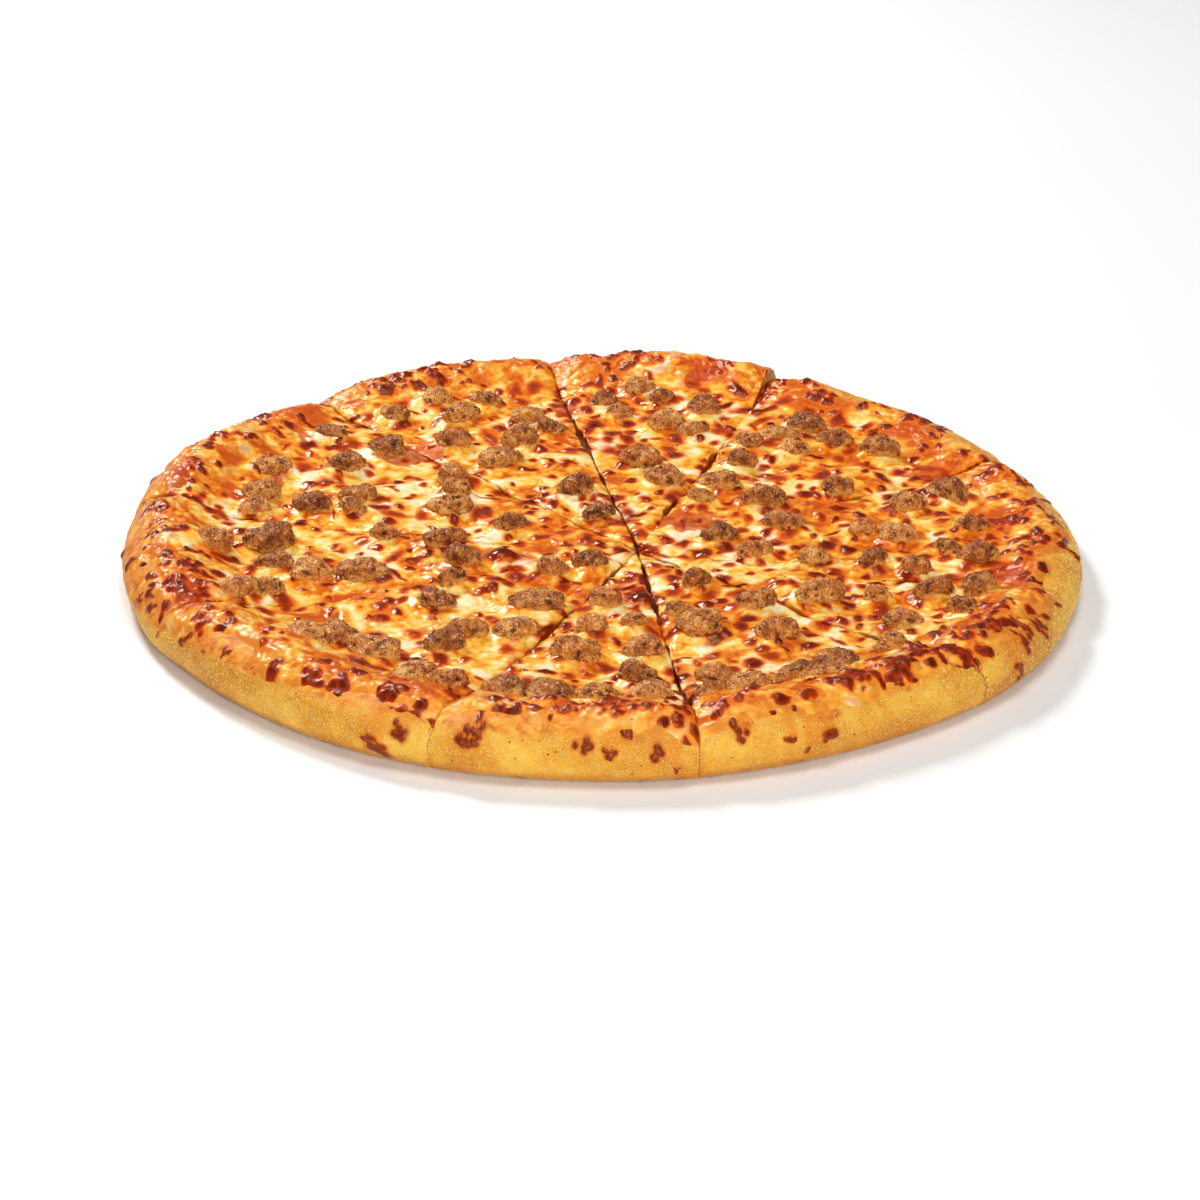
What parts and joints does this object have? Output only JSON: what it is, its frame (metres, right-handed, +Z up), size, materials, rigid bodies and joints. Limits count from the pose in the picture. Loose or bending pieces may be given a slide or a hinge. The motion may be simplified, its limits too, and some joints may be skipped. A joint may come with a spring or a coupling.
{
  "type": "pizza",
  "caption": "Large round pizza cut into slices that lie together, with a raised crust, browned melted cheese and scattered crumbled sausage.",
  "frame": {"origin": "on the surface the pizza lies on, under the middle of its outline", "axes": "+Z up through the pizza, +X to the right and +Y away from the viewer of the picture"},
  "size_m": [0.4076, 0.409, 0.0278],
  "materials": {
    "dough": "baked golden bread crust, dry and finely pitted",
    "cheese": "melted cheese, browned in blisters, oily and slightly shiny",
    "sausage": "browned crumbled meat, coarse and slightly greasy"
  },
  "bodies": {
    "root": {"crust_01": "dough", "cheese_01": "cheese", "sausage_01_1": "sausage", "sausage_01_2": "sausage", "sausage_01_3": "sausage", "sausage_01_4": "sausage", "crust_02": "dough", "cheese_02": "cheese", "sausage_02_1": "sausage", "sausage_02_2": "sausage", "sausage_02_3": "sausage", "sausage_02_4": "sausage", "crust_03": "dough", "cheese_03": "cheese", "sausage_03_1": "sausage", "sausage_03_2": "sausage", "sausage_03_3": "sausage", "sausage_03_4": "sausage", "crust_04": "dough", "cheese_04": "cheese", "sausage_04_1": "sausage", "sausage_04_2": "sausage", "sausage_04_3": "sausage", "sausage_04_4": "sausage", "crust_05": "dough", "cheese_05": "cheese", "sausage_05_1": "sausage", "sausage_05_2": "sausage", "sausage_05_3": "sausage", "sausage_05_4": "sausage", "crust_06": "dough", "cheese_06": "cheese", "sausage_06_1": "sausage", "sausage_06_2": "sausage", "sausage_06_3": "sausage", "sausage_06_4": "sausage", "crust_07": "dough", "cheese_07": "cheese", "sausage_07_1": "sausage", "sausage_07_2": "sausage", "sausage_07_3": "sausage", "sausage_07_4": "sausage", "crust_08": "dough", "cheese_08": "cheese", "sausage_08_1": "sausage", "sausage_08_2": "sausage", "sausage_08_3": "sausage", "sausage_08_4": "sausage", "crust_09": "dough", "cheese_09": "cheese", "sausage_09_1": "sausage", "sausage_09_2": "sausage", "sausage_09_3": "sausage", "sausage_09_4": "sausage", "crust_10": "dough", "cheese_10": "cheese", "sausage_10_1": "sausage", "sausage_10_2": "sausage", "sausage_10_3": "sausage", "sausage_10_4": "sausage"}
  },
  "joints": []
}
